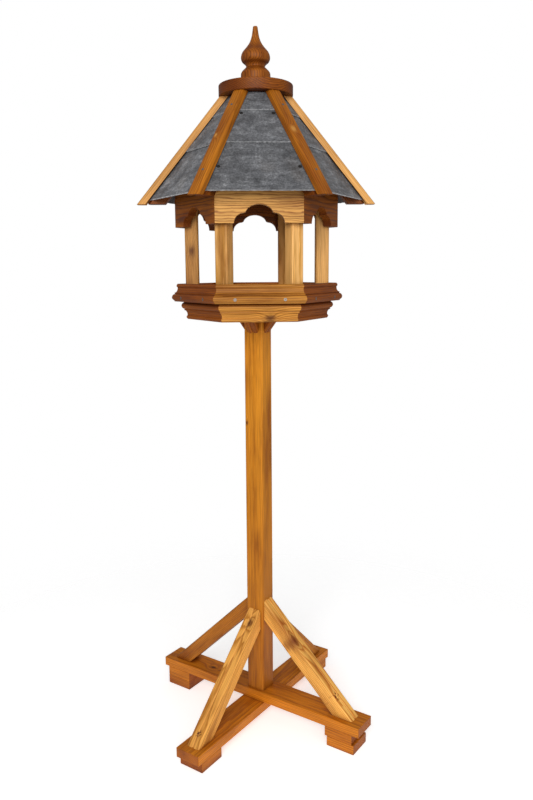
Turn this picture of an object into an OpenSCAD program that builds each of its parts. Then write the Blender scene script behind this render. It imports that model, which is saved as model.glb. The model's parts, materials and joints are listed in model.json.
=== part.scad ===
// Hexagonal bird feeding table with a slate roof, on a square pole and a cross base.
// Ground is Z = 0, the pole axis is the Z axis, and -Y is the front of the table.

/* [Base] */
// Turn of the pole and cross base under the table, clockwise seen from above
base_turn = 37; // [0:1:60]
// Length of the upper beam of the cross
beam_upper_l = 620; // [520:5:760]
// Length of the lower beam of the cross
beam_lower_l = 606; // [520:5:760]
// Width of both beams and of the foot blocks
beam_w = 68; // [55:1:90]
// Thickness of the base boards, used for beams and foot blocks
board_t = 25; // [20:1:32]
// Length of a foot block
foot_l = 75; // [50:1:110]
// Distance from the end of a beam to its foot block
foot_inset = 13; // [0:1:40]
// How much further in the front right upper block sits than the block under it
foot_step = 6; // [0:1:15]

/* [Pole] */
// Width of the square pole
pole_w = 50.5; // [38:0.5:60]
// Rounding of the pole's long edges
pole_round = 5; // [1:0.5:10]
// Reach of a base brace along the beam
brace_out = 259; // [180:1:262]
// Reach of a base brace up the pole
brace_up = 250; // [180:1:300]
// Reach of the small brackets along the underside of the table
bracket_out = 27; // [20:1:60]
// Reach of the small brackets down the pole
bracket_up = 35; // [25:1:60]
// Width of a small bracket
bracket_w = 32; // [24:1:38]
// Width of the moulded batten that the braces and brackets are cut from
batten_w = 38; // [30:1:45]
// Depth of that batten
batten_t = 37; // [24:1:40]

/* [Table] */
// Height of the table's underside above the ground
table_z = 1049; // [800:1:1300]
// Distance from the axis to the outer edge of the table floor, on a flat
floor_apothem = 160.5; // [150:0.5:190]
// Thickness of the table floor
floor_t = 18; // [12:1:22]
// Thickness of the board under the table
underboard_t = 12; // [9:1:18]
// Height of one row of moulding
moulding_h = 42.5; // [36:0.5:55]
// Thickness of the moulding at its thick edge
moulding_t = 19.5; // [17:0.5:24]

/* [House] */
// Width of a square corner post
post_w = 32; // [24:1:34]
// Rounding of the post's long edges
post_round = 5; // [1:0.5:8]
// Distance from the axis to the centre of a post
post_r = 156.5; // [150:0.5:162]
// Height of the lower edge of the frieze boards above the ground
frieze_z = 1266; // [1200:1:1290]
// Height of a frieze board
frieze_h = 84; // [80:1:90]
// Thickness of a frieze board
frieze_t = 20; // [15:1:22]
// Distance from the axis to the outer face of a frieze board
frieze_apothem = 169; // [165:0.5:175]
// Width of the arch cut in a frieze board, at its foot
arch_w = 111; // [90:1:120]

/* [Roof] */
// Height of the slates' lower edge
eave_z = 1328; // [1320:1:1335]
// Distance from the axis to the corner of the eaves
eave_r = 254; // [240:1:265]
// Slope of the roof along a hip
hip_slope = 50.6; // [48:0.1:53]
// Thickness of a slate
slate_t = 3.2; // [2.5:0.1:3.4]
// Distance up the slope from the eaves to the lower edge of the middle slates
course_2 = 130.5; // [110:0.5:140]
// Distance up the slope from the eaves to the lower edge of the top slates
course_3 = 226; // [210:0.5:235]
// Length hidden under the slate above
slate_lap = 22; // [15:1:35]
// Width of a rafter under a hip
rafter_w = 28; // [20:1:30]
// Depth of a rafter, square to its length
rafter_t = 34; // [26:1:35]
// Width of the rail over a hip
rail_w = 30; // [24:1:36]
// Height of the rail's sides
rail_side = 16.3; // [12:0.1:20]
// Height of the rail's lower end above the ground
rail_foot_z = 1319.3; // [1305:0.1:1322]

/* [Top] */
// Radius of the cap disc
cap_r = 86.8; // [80:0.1:95]
// Thickness of the cap disc
cap_t = 25.3; // [18:0.1:32]
// Height of the underside of the cap disc
cap_z = 1562.4; // [1555:0.1:1570]
// Height of the finial above the cap disc
finial_h = 129; // [90:1:160]

/* [Hidden] */
$fn = 48;

// Levels of the base, from the ground up
lower_beam_z = board_t;
upper_beam_z = 2 * board_t;
pole_z = 3 * board_t;

// Levels of the table
ring_2_z = table_z + moulding_h;
floor_top_z = ring_2_z + floor_t;
lower_ring_back = floor_apothem - moulding_t;
screw_row_z = ring_2_z + floor_t / 2;

// Roof angles: a face is steeper than a hip, and falls away on both sides of it
eave_apothem = eave_r * cos(30);
face_slope = atan(tan(hip_slope) / cos(30));
hip_fall = sin(hip_slope) * tan(30);

// Slates: the two upper courses lean on the course below by this angle
slate_tilt = atan(slate_t / (course_3 - course_2));
slate_top = 282;
slate_hip_gap = 4;
nail_notch_r = 4.5;
nail_notch_from_hip = 18;
notch_lower_s = 65;
notch_middle_s = 219;

// Rails sit clear of the doubled slates
rail_seat = 2.25 * slate_t / cos(atan(hip_fall));
rail_top = rail_seat - rail_w / 2 * hip_fall + rail_side;
nail_places = [45, 242];

hub_apothem = 45;
hub_h = 45;
spigot_r = 8;
spigot_l = 60;
brace_screw_sink = 6;
foot_screw_sink = 9;

timber = "#B5752B";
light_timber = "#C9964F";
dark_timber = "#7A4A22";
slate_grey = "#66666C";
zinc = "#B9BCC0";

// ---- Shared shapes ----

// Hexagon with its corners at 0, 60, 120 ... degrees
module hexagon(apothem) {
    circle(r = apothem / cos(30), $fn = 6);
}

// Square with rounded corners, centred
module rounded_square(w, r) {
    square([w - 2 * r, w], center = true);
    square([w, w - 2 * r], center = true);
    for (x = [-1, 1])
        for (y = [-1, 1])
            translate([x * (w / 2 - r), y * (w / 2 - r)])
                circle(r = r, $fn = 32);
}

// Everything that turns with the pole
module base_frame() {
    rotate([0, 0, -base_turn]) children();
}

// Side k of the hexagon, 1 to 6, with its outward direction along +X
module on_side(k) {
    rotate([0, 0, 60 * k - 30]) children();
}

// Corner k of the hexagon, 1 to 6, with its outward direction along +X
module on_corner(k) {
    rotate([0, 0, 60 * (k - 1)]) children();
}

// Countersunk screw pointing down, its head level with Z = 0. As a cutter it is
// given a sink, the depth of clear hole above its head.
module screw(head_r, shank_r, length, sink = 0) {
    head_h = head_r - shank_r;
    translate([0, 0, -head_h])
        cylinder(h = head_h, r1 = shank_r, r2 = head_r, $fn = 24);
    if (sink > 0)
        cylinder(h = sink, r = head_r, $fn = 24);
    translate([0, 0, -length])
        cylinder(h = length - head_h / 2, r = shank_r, $fn = 24);
}

// ---- Base ----

module beam(length, z) {
    translate([-length / 2, -beam_w / 2, z])
        cube([length, beam_w, board_t]);
}

// Block under the +X end of a beam
module foot_block(beam_l, inset, z) {
    translate([beam_l / 2 - inset - foot_l, -beam_w / 2, z])
        cube([foot_l, beam_w, board_t]);
}

module beam_upper() {
    color(timber) base_frame() difference() {
        beam(beam_upper_l, upper_beam_z);
        base_screws();
    }
}

module beam_lower() {
    color(timber) base_frame() difference() {
        rotate([0, 0, 90]) beam(beam_lower_l, lower_beam_z);
        base_screws();
    }
}

// quarter: 0 front right, 1 back right, 2 back left, 3 front left
module foot(quarter, inset, z) {
    beam_l = quarter % 2 == 0 ? beam_upper_l : beam_lower_l;
    color(timber) base_frame() difference() {
        rotate([0, 0, 90 * quarter]) foot_block(beam_l, inset, z);
        base_screws();
    }
}

// ---- Pole, braces and brackets ----

// Section of the moulded batten: two rounded lobes with a fine groove between them.
// Its crest is the X axis and the wood is below.
module batten_section(w) {
    lobe_r = 6;
    groove_edge = 4.8;
    translate([-w / 2, -batten_t])
        square([w, batten_t - lobe_r]);
    for (side = [-1, 1]) {
        translate([side * (w / 2 - lobe_r), -lobe_r])
            circle(r = lobe_r);
        translate([side * groove_edge, -lobe_r])
            circle(r = lobe_r);
        translate([side > 0 ? groove_edge : lobe_r - w / 2, -lobe_r - 1])
            square([w / 2 - lobe_r - groove_edge, lobe_r + 1]);
    }
    translate([-groove_edge, -lobe_r - 1])
        square([2 * groove_edge, lobe_r / 2]);
}

// Batten leaning in the corner between the pole's +X face and Z = 0. Its crest runs
// from a point on the pole, at the height up, to a point on the beam.
module knee(out, up, w = batten_w) {
    crest = norm([out, up]);
    lean = 90 + atan2(up, out);
    intersection() {
        translate([pole_w / 2, -w / 2, 0])
            cube([out, w, up]);
        translate([pole_w / 2 - batten_t * out / crest, 0, up + batten_t * up / crest])
            rotate([0, lean, 0])
                rotate([0, 0, 90])
                    linear_extrude(crest + 2 * batten_t)
                        batten_section(w);
    }
}

module brace(quarter) {
    foot_z = quarter % 2 == 0 ? pole_z : upper_beam_z;
    color(light_timber) base_frame() difference() {
        rotate([0, 0, 90 * quarter]) translate([0, 0, foot_z]) knee(brace_out, brace_up);
        brace_screw_pair(quarter, brace_screw_sink);
    }
}

module pole_brackets() {
    color(timber) base_frame()
        for (quarter = [0:3])
            rotate([0, 0, 90 * quarter])
                translate([0, 0, table_z])
                    mirror([0, 0, 1])
                        knee(bracket_out, bracket_up, bracket_w);
}

module pole() {
    color(timber) base_frame() difference() {
        translate([0, 0, pole_z])
            linear_extrude(table_z - pole_z)
                rounded_square(pole_w, pole_round);
        base_screws();
    }
}

// ---- Table ----

// Moulding section: X is the distance out from its back, Y runs from the thin edge
// (0) to the thick edge. A bead, a hollow and a broad rounded lip.
module moulding_section() {
    thin = 7;
    bead_r = 4.6;
    hollow_r = 11;
    lip_r = 9;
    lip_y = moulding_h - lip_r;
    polygon(concat(
        [[0, 0], [thin - 0.5, 0], [thin + 0.5, 1]],
        [for (a = [-60:20:60])
            [thin + bead_r * (cos(a) - cos(60)), 1 + bead_r * (sin(a) + sin(60))]],
        [for (a = [0:15:90])
            [thin + hollow_r * (1 - cos(a)) * 0.55, 9.6 + 11.5 * sin(a)]],
        [[thin + 7, 21.5]],
        [for (a = [-75:15:60])
            [moulding_t - lip_r + lip_r * cos(a), lip_y - 1 + (lip_r - 0.5) * sin(a)]],
        [[moulding_t - 6, moulding_h], [0, moulding_h]]
    ));
}

// One mitred length of moulding on the +X side, thick edge at Z = moulding_h.
// Its back stands at the given distance from the axis.
module moulding_length(back) {
    reach = back + moulding_t + 1;
    intersection() {
        translate([back, 0, 0])
            rotate([90, 0, 0])
                translate([0, 0, -reach])
                    linear_extrude(2 * reach)
                        moulding_section();
        linear_extrude(moulding_h)
            polygon([[0, 0], [reach, -reach * tan(30)], [reach, reach * tan(30)]]);
    }
}

module lower_moulding(k) {
    color(timber)
        on_side(k)
            translate([0, 0, table_z])
                moulding_length(lower_ring_back);
}

// The upper row is the same moulding with its thick edge down
module upper_moulding(k) {
    color(timber) difference() {
        on_side(k)
            translate([0, 0, ring_2_z + moulding_h])
                mirror([0, 0, 1])
                    moulding_length(floor_apothem);
        moulding_screw_set();
    }
}

module underboard() {
    color(timber) difference() {
        translate([0, 0, table_z])
            linear_extrude(underboard_t)
                hexagon(lower_ring_back);
        base_frame() base_screws();
    }
}

module table_floor() {
    color(light_timber) difference() {
        translate([0, 0, ring_2_z])
            linear_extrude(floor_t)
                hexagon(floor_apothem);
        post_screw_set();
        moulding_screw_set();
    }
}

// ---- House ----

// Square post set with one face outwards, cut back above the frieze line so that
// the frieze boards sit on its shoulders
module post(k) {
    color(light_timber) difference() {
        on_corner(k)
            translate([post_r, 0, floor_top_z])
                linear_extrude(frieze_z + frieze_h - floor_top_z)
                    rounded_square(post_w, post_round);
        translate([0, 0, frieze_z])
            linear_extrude(frieze_h + 1)
                difference() {
                    hexagon(frieze_apothem + post_w);
                    hexagon(frieze_apothem - frieze_t);
                }
        post_screw_set();
    }
}

// Outline of the arch: a quarter round at each foot, then a flatter crown
module arch_outline() {
    foot_r = 22;
    crown_w = 30;
    crown_z = 20;
    crown_h = 20.5;
    shoulder = arch_w / 2 - foot_r;
    polygon(concat(
        [[-arch_w / 2, -1]],
        [for (a = [0:15:90]) [-shoulder - foot_r * cos(a), foot_r * sin(a)]],
        [for (a = [15:15:165]) [-crown_w * cos(a), crown_z + crown_h * sin(a)]],
        [for (a = [90:-15:0]) [shoulder + foot_r * cos(a), foot_r * sin(a)]],
        [[arch_w / 2, -1]]
    ));
}

module frieze_board(k) {
    inner = frieze_apothem - frieze_t;
    color(dark_timber) on_side(k) translate([0, 0, frieze_z]) difference() {
        linear_extrude(frieze_h)
            polygon([
                [inner, -inner * tan(30)],
                [frieze_apothem, -frieze_apothem * tan(30)],
                [frieze_apothem, frieze_apothem * tan(30)],
                [inner, inner * tan(30)]
            ]);
        translate([inner - 1, 0, 0])
            rotate([90, 0, 90])
                linear_extrude(frieze_t + 2)
                    arch_outline();
    }
}

// ---- Roof ----

// Places a section, drawn with its crest on the hip line, along the hip on +X
module along_hip(length) {
    translate([eave_r, 0, eave_z])
        rotate([0, hip_slope - 90, 0])
            rotate([0, 0, -90])
                translate([0, 0, -60])
                    linear_extrude(length + 60)
                        children();
}

module rafter() {
    half = rafter_w / 2;
    difference() {
        intersection() {
            along_hip(340)
                polygon([
                    [-half, -rafter_t], [half, -rafter_t], [half, -half * hip_fall],
                    [0, 0], [-half, -half * hip_fall]
                ]);
            translate([hub_apothem, -half, eave_z - 8])
                cube([eave_r + 3 - hub_apothem, rafter_w, cap_z - eave_z + 8]);
        }
        translate([0, 0, frieze_z])
            linear_extrude(frieze_h)
                hexagon(frieze_apothem);
    }
}

module hip_rafters() {
    color(timber) difference() {
        for (k = [1:6])
            on_corner(k) rafter();
        rail_nail_set();
    }
}

module roof_hub() {
    color(timber) difference() {
        translate([0, 0, cap_z - hub_h])
            rotate([0, 0, 30])
                linear_extrude(hub_h)
                    hexagon(hub_apothem);
        finial_spigot();
    }
}

// Half the width of a roof face, at a distance up its slope
function face_half(s) = (eave_apothem - s * cos(face_slope)) * tan(30);

// Flat slate on the +X face between two distances up the slope
module slate(low, high, notch) {
    half_low = face_half(low) - slate_hip_gap;
    half_high = face_half(high) - slate_hip_gap;
    linear_extrude(slate_t)
        difference() {
            polygon([
                [-half_low, low], [half_low, low], [half_high, high], [-half_high, high]
            ]);
            if (notch > 0)
                for (side = [-1, 1])
                    translate([side * (face_half(notch) - nail_notch_from_hip), notch])
                        circle(r = nail_notch_r, $fn = 24);
        }
}

// Puts a slate on face k: it lies flat, or leans on the slate below from the line s
module on_roof(k, lift, s, tilt) {
    on_side(k)
        translate([eave_apothem, 0, eave_z])
            rotate([0, face_slope, 0])
                rotate([0, 0, 90])
                    translate([0, s, lift])
                        rotate([-tilt, 0, 0])
                            translate([0, -s, 0])
                                children();
}

module slates_lower() {
    color(slate_grey)
        for (k = [1:6])
            on_roof(k, 0, 0, 0)
                slate(0, course_2 + slate_lap, notch_lower_s);
}

module slates_middle() {
    color(slate_grey)
        for (k = [1:6])
            on_roof(k, slate_t, course_2 + slate_lap, slate_tilt)
                slate(course_2, course_3 + slate_lap, notch_middle_s);
}

module slates_top() {
    lift = slate_t + slate_t / cos(slate_tilt);
    color(slate_grey)
        for (k = [1:6])
            on_roof(k, lift, course_2 + slate_lap, slate_tilt)
                slate(course_3, slate_top, 0);
}

// Section of a rail: rounded top edges, and a groove that fits over the hip
module rail_section() {
    round_r = 5;
    half = rail_w / 2;
    low = rail_seat - half * hip_fall;
    difference() {
        union() {
            translate([-half, low]) square([rail_w, rail_side - round_r]);
            translate([-(half - round_r), low]) square([rail_w - 2 * round_r, rail_side]);
            for (side = [-1, 1])
                translate([side * (half - round_r), rail_top - round_r])
                    circle(r = round_r, $fn = 32);
        }
        polygon([
            [-rail_w, low - 1], [-rail_w, rail_seat - rail_w * hip_fall],
            [0, rail_seat], [rail_w, rail_seat - rail_w * hip_fall], [rail_w, low - 1]
        ]);
    }
}

module hip_rail(k) {
    color(timber) difference() {
        on_corner(k)
            intersection() {
                along_hip(360) rail_section();
                translate([0, -rail_w, rail_foot_z])
                    cube([eave_r + 60, 2 * rail_w, cap_z - rail_foot_z]);
            }
        rail_nail_set();
    }
}

// ---- Top ----

module cap_disc() {
    round_r = 3;
    color(dark_timber) difference() {
        translate([0, 0, cap_z])
            rotate_extrude($fn = 96) {
                square([cap_r - round_r, cap_t]);
                square([cap_r, cap_t - round_r]);
                translate([cap_r - round_r, cap_t - round_r]) circle(r = round_r, $fn = 32);
            }
        finial_spigot();
    }
}

// Point at t (0 to 1) on a smooth curve through b and c, with neighbours a and d
function smooth(a, b, c, d, t) =
    0.5 * (2 * b + (c - a) * t + (2 * a - 5 * b + 4 * c - d) * t * t
        + (3 * b - a - 3 * c + d) * t * t * t);

// Smooth curve through the points, from the second to the last but one
function smooth_path(p, steps) = [
    for (i = [1:len(p) - 3])
        for (j = [0:steps - 1])
            smooth(p[i - 1], p[i], p[i + 1], p[i + 2], j / steps)
];

module finial_spigot() {
    translate([0, 0, cap_z + cap_t - spigot_l])
        cylinder(h = spigot_l, r = spigot_r, $fn = 32);
}

// Turned finial: foot, waist, bulb and a drawn-out tip. Radius and height pairs.
module finial() {
    turning = [
        [34, -10], [34.4, 0], [34.4, 22], [32.6, 29], [27, 35], [21.9, 40.5], [24.4, 46],
        [31.5, 52.5], [33.8, 61], [30.5, 72], [21.2, 83], [13.8, 93.5], [9.4, 104.5],
        [7.2, 115], [5.4, finial_h - 1.5], [4.6, finial_h + 8]
    ];
    color(dark_timber) {
        translate([0, 0, cap_z + cap_t])
            rotate_extrude($fn = 64)
                polygon(concat(
                    [[0, 0]],
                    smooth_path(turning, 4),
                    [[5.4, finial_h - 1.5], [4.4, finial_h], [0, finial_h]]
                ));
        finial_spigot();
    }
}

// ---- Fasteners, each drawn where it sits, and used to bore the wood around it ----

// Two screws down into each brace, one into the pole and one into the beam
module brace_screw_pair(quarter, sink = 0) {
    below_crest = 3.5;
    from_end = 28;
    crest = norm([brace_out, brace_up]);
    foot_z = quarter % 2 == 0 ? pole_z : upper_beam_z;
    for (place = [from_end, crest - from_end])
        rotate([0, 0, 90 * quarter])
            translate([pole_w / 2, 0, foot_z + brace_up])
                rotate([0, 90 + atan2(brace_up, brace_out), 0])
                    translate([below_crest, 0, place])
                        rotate([0, -90, 0])
                            screw(4, 2, 48, sink);
}

module brace_screw_set() {
    for (quarter = [0:3])
        brace_screw_pair(quarter);
}

// Screws up through the feet, their heads sunk into the underside
module foot_screw_set(sink = 0) {
    for (quarter = [0:3]) {
        beam_l = quarter % 2 == 0 ? beam_upper_l : beam_lower_l;
        foot_x = beam_l / 2 - foot_inset - foot_l / 2;
        for (side = [-1, 1])
            rotate([0, 0, 90 * quarter])
                translate([foot_x, side * beam_w / 4, foot_screw_sink])
                    mirror([0, 0, 1])
                        screw(4, 2, quarter % 2 == 0 ? 60 : 36, sink);
    }
}

// Two screws up through the cross into the pole, and two down from the underboard
module pole_screw_set() {
    for (side = [-1, 1]) {
        translate([side * 10, 0, lower_beam_z])
            mirror([0, 0, 1])
                screw(6, 3, 100);
        translate([0, side * 10, table_z + underboard_t])
            screw(4, 2, 60);
    }
}

// All that bores the beams, the feet and the pole
module base_screws() {
    brace_screw_set();
    foot_screw_set(foot_screw_sink + 1);
    pole_screw_set();
}

// One screw up through the floor into each post
module post_screw_set() {
    for (k = [1:6])
        on_corner(k)
            translate([post_r - 4, 0, ring_2_z])
                mirror([0, 0, 1])
                    screw(4, 2, 50);
}

// Two screws through each upper moulding into the edge of the floor
module moulding_screw_set() {
    spread = 55.5;
    for (k = [1:6])
        on_side(k)
            for (side = [-1, 1])
                translate([floor_apothem + moulding_t, side * spread, screw_row_z])
                    rotate([0, 90, 0])
                        screw(3.4, 1.75, 40);
}

// Two nails through each rail, between the slates, into the rafter
module rail_nail_set() {
    for (k = [1:6])
        on_corner(k)
            for (place = nail_places)
                translate([eave_r, 0, eave_z])
                    rotate([0, hip_slope - 90, 0])
                        translate([rail_top, 0, place])
                            rotate([0, 90, 0])
                                screw(2.8, 1.5, 40);
}

module brace_screws() { color(zinc) base_frame() brace_screw_set(); }
module foot_screws() { color(zinc) base_frame() foot_screw_set(); }
module pole_screws() { color(zinc) base_frame() pole_screw_set(); }
module post_screws() { color(zinc) post_screw_set(); }
module moulding_screws() { color(zinc) moulding_screw_set(); }
module rail_nails() { color(zinc) rail_nail_set(); }

// ---- Nodes ----

beam_upper();
beam_lower();
foot(0, foot_inset, 0);  // foot_front_right_lower
foot(0, foot_inset + foot_step, board_t);  // foot_front_right_upper
foot(2, foot_inset, 0);  // foot_back_left_lower
foot(2, foot_inset, board_t);  // foot_back_left_upper
foot(3, foot_inset, 0);  // foot_front_left
foot(1, foot_inset, 0);  // foot_back_right
brace(0);  // brace_front_right
brace(1);  // brace_back_right
brace(2);  // brace_back_left
brace(3);  // brace_front_left
pole();
pole_brackets();
underboard();
table_floor();
for (k = [1:6]) {
    lower_moulding(k);
    upper_moulding(k);
    post(k);
    frieze_board(k);
    hip_rail(k);
}
hip_rafters();
roof_hub();
slates_lower();
slates_middle();
slates_top();
cap_disc();
finial();
brace_screws();
foot_screws();
pole_screws();
post_screws();
moulding_screws();
rail_nails();
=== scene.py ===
# %% [markdown]
# # A hexagonal bird table with a slate roof
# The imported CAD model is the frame: it says where every piece of the table is, in
# metres, with the ground at Z = 0 and the pole on the Z axis. Each piece below is
# modelled again with its real edges and surface, in the place that the frame gives.

# %% Load the frame
import json
import math
import random

import bmesh
import bpy
from mathutils import Matrix, Vector, noise


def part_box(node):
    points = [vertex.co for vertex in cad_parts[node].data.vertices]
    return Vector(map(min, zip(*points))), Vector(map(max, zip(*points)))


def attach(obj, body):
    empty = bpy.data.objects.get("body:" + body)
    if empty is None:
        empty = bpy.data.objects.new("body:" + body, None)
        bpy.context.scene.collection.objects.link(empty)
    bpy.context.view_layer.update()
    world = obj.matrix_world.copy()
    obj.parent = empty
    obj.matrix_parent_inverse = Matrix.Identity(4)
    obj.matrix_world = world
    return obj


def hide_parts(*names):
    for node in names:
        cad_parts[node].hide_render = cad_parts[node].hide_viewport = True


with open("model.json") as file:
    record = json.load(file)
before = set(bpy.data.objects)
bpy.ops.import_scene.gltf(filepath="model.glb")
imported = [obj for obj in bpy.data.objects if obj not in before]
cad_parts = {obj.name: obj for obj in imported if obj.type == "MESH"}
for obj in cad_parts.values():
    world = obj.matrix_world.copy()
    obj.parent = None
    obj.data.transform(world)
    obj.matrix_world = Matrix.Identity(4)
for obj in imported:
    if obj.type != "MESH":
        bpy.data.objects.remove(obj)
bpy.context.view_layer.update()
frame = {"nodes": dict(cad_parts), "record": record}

# %% [markdown]
# ## Camera, light and floor
# A garden ornament of this height is best seen from just under two metres away, at
# chest height. The camera looks slightly down, so the top of each base board and the
# underside of the eaves both show.

# %% Camera
MM = 0.001
EYE = Vector((-0.0610, -1.8285, 1.1618))
YAW, PITCH, ROLL = math.radians(2.547), math.radians(-9.811), math.radians(-0.369)
LENS_MM = 33.45

forward = Vector((math.sin(YAW) * math.cos(PITCH), math.cos(YAW) * math.cos(PITCH),
                  math.sin(PITCH)))
right = Vector((math.cos(YAW), -math.sin(YAW), 0))
right = Matrix.Rotation(-ROLL, 3, forward) @ right
up = right.cross(forward)

camera = bpy.data.objects.new("camera", bpy.data.cameras.new("camera"))
camera.data.lens = LENS_MM
camera.matrix_world = Matrix.Translation(EYE) @ Matrix((right, up, -forward)).transposed().to_4x4()
bpy.context.scene.collection.objects.link(camera)
bpy.context.scene.camera = camera
bpy.context.scene.view_settings.view_transform = "Standard"
print("camera looks along", tuple(round(v, 3) for v in forward))


# %% [markdown]
# The floor is a sheet of pale paper that fades out, so the feet have something to
# stand on and no horizon shows. The room is white where it is seen, but lights the
# table only dimly: a large soft box on the left and a weaker one on the right then
# make one face of each post lighter than the other. Nodes are added by one helper,
# which sets their values and links them, so a material reads from top to bottom.

# %% Colour and node helpers
def linear(code, alpha=1.0):
    """Linear colour from an sRGB hex code."""
    channels = [int(code[i:i + 2], 16) / 255 for i in (1, 3, 5)]
    return [c / 12.92 if c <= 0.04045 else ((c + 0.055) / 1.055) ** 2.4 for c in channels] + [alpha]


def add(tree, kind, links=None, stops=(), **settings):
    """Adds a node. Each link is an input and its value, or the node or socket that feeds it."""
    node = tree.nodes.new("ShaderNode" + kind)
    for name, value in settings.items():
        setattr(node, name, value)
    for name, value in (links or {}).items():
        if isinstance(value, bpy.types.Node):
            value = next(o for o in value.outputs if o.enabled)
        if isinstance(value, bpy.types.NodeSocket):
            tree.links.new(value, node.inputs[name])
        else:
            node.inputs[name].default_value = value
    for i, (place, colour) in enumerate(stops):
        band = node.color_ramp.elements
        stop = band[i] if i < len(band) else band.new(place)
        stop.position = place
        stop.color = colour if isinstance(colour, list) else (colour, colour, colour, 1)
    return node


# A Mix node takes an amount at 0 and two colours at 6 and 7. It covers one with the
# other, or tints one by the other
COVER = {"data_type": "RGBA"}
TINT = {"data_type": "RGBA", "blend_type": "MULTIPLY"}


def new_material(name):
    """A named material, its node tree and its surface shader."""
    material = bpy.data.materials.new(name)
    material.use_nodes = True
    return material, material.node_tree, material.node_tree.nodes["Principled BSDF"]


# %% Floor and lights
def area_light(name, place, target, size, power):
    """A square soft box at one point, facing another."""
    lamp = bpy.data.objects.new(name, bpy.data.lights.new(name, "AREA"))
    lamp.data.size = size
    lamp.data.energy = power
    lamp.location = place
    lamp.rotation_euler = (Vector(target) - Vector(place)).to_track_quat("-Z", "Y").to_euler()
    bpy.context.scene.collection.objects.link(lamp)


def stage_floor(reach):
    """A round sheet of pale paper just under the feet, which fades out into the backdrop."""
    bm = bmesh.new()
    bmesh.ops.create_circle(bm, cap_ends=True, segments=64, radius=reach)
    bmesh.ops.translate(bm, vec=(0, 0, -0.5 * MM), verts=bm.verts)
    mesh = bpy.data.meshes.new("floor")
    bm.to_mesh(mesh)
    bm.free()
    paper, tree, shader = new_material("white_paper")
    shader.inputs["Base Color"].default_value = linear("#F9F9F9")
    shader.inputs["Roughness"].default_value = 0.95
    shader.inputs["Emission Color"].default_value = (1, 1, 1, 1)
    shader.inputs["Emission Strength"].default_value = 0.46
    place = add(tree, "TexCoord").outputs["Object"]
    distance = add(tree, "VectorMath", {0: place}, operation="LENGTH")
    fade = add(tree, "MapRange", {"Value": distance, "From Min": 0.25 * reach,
                                  "From Max": 0.9 * reach, "To Min": 1.0, "To Max": 0.0},
               interpolation_type="SMOOTHSTEP")
    tree.links.new(fade.outputs[0], shader.inputs["Alpha"])
    mesh.materials.append(paper)
    floor = bpy.data.objects.new("floor", mesh)
    bpy.context.scene.collection.objects.link(floor)


def white_studio(light):
    """A white room: pure white where it is seen, and dimmer as a light, so that form shows."""
    world = bpy.data.worlds.new("studio")
    world.use_nodes = True
    tree = world.node_tree
    seen = add(tree, "LightPath").outputs["Is Camera Ray"]
    level = add(tree, "MapRange", {"Value": seen, "To Min": light})
    room = tree.nodes["Background"]
    room.inputs["Color"].default_value = (1, 1, 1, 1)
    tree.links.new(level.outputs[0], room.inputs["Strength"])
    bpy.context.scene.world = world


stage_floor(reach=1.6)
white_studio(light=0.36)
area_light("key", place=(-0.5, -3.3, 2.3), target=(0, 0, 0.95), size=1.6, power=81)
area_light("fill", place=(0.9, -3.2, 1.2), target=(0, 0, 0.8), size=1.8, power=26)

# %% [markdown]
# ## Reading sizes from the frame
# The boards of the base are turned under the table, so the turn is read from the
# place of a foot, and levels come from the boxes of the CAD nodes.

# %% Levels and turns
mounts = {m["name"]: Vector(m["pos_m"]) for m in frame["record"]["mounts"]}
front_foot = mounts["rest_front_right"]
base_turn = math.atan2(front_foot.y, front_foot.x)
base_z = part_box("beam_lower")[0].z
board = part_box("beam_lower")[1].z - base_z
pole_low, pole_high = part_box("pole")[0].z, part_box("pole")[1].z
floor_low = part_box("table_floor")[0].z
floor_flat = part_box("table_floor")[1].y
ring_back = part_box("underboard")[1].y
low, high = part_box("upper_moulding_5")
moulding_h, moulding_t = high.z - low.z, high.y - low.y
low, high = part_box("frieze_board_5")
frieze_low, frieze_out, frieze_t = low.z, -low.y, high.y - low.y
cap_low, cap_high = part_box("cap_disc")[0].z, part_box("cap_disc")[1].z
cap_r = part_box("cap_disc")[1].x
eave_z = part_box("slates_lower")[0].z
rail_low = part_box("hip_rail_1")[0].z
print("base turned", round(math.degrees(base_turn), 1), "degrees")
print("base board", round(board / MM, 1), "mm thick")
print("moulding", round(moulding_h / MM, 1), "mm high and", round(moulding_t / MM, 1), "mm thick")

# Driving sizes of the stock, in metres
BEAM_W = 68 * MM
BEAM_L = (620 * MM, 606 * MM)
FOOT_L = 75 * MM
POLE_W = 50.5 * MM
POLE_ROUND = 5 * MM
POLE_TWIST = math.radians(7)
POST_W = 32 * MM
POST_ROUND = 5 * MM
POST_R = 156.5 * MM
BATTEN_W = 38 * MM
BATTEN_T = 37 * MM
LOBE_R = 6 * MM
GROOVE_EDGE = 4.8 * MM
BRACE_OUT, BRACE_UP = 259 * MM, 250 * MM
BRACKET_OUT, BRACKET_UP, BRACKET_W = 27 * MM, 35 * MM, 32 * MM
EAVE_R = 254 * MM
QUARTER_TURN = math.radians(90)
SIXTH_TURN = math.radians(60)
MITRE = math.radians(30)
HIP_SLOPE = math.radians(50.6)
FACE_SLOPE = math.atan(math.tan(HIP_SLOPE) / math.cos(MITRE))
HIP_FALL = math.sin(HIP_SLOPE) * math.tan(MITRE)
SLATE_T = 3.2 * MM
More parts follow.
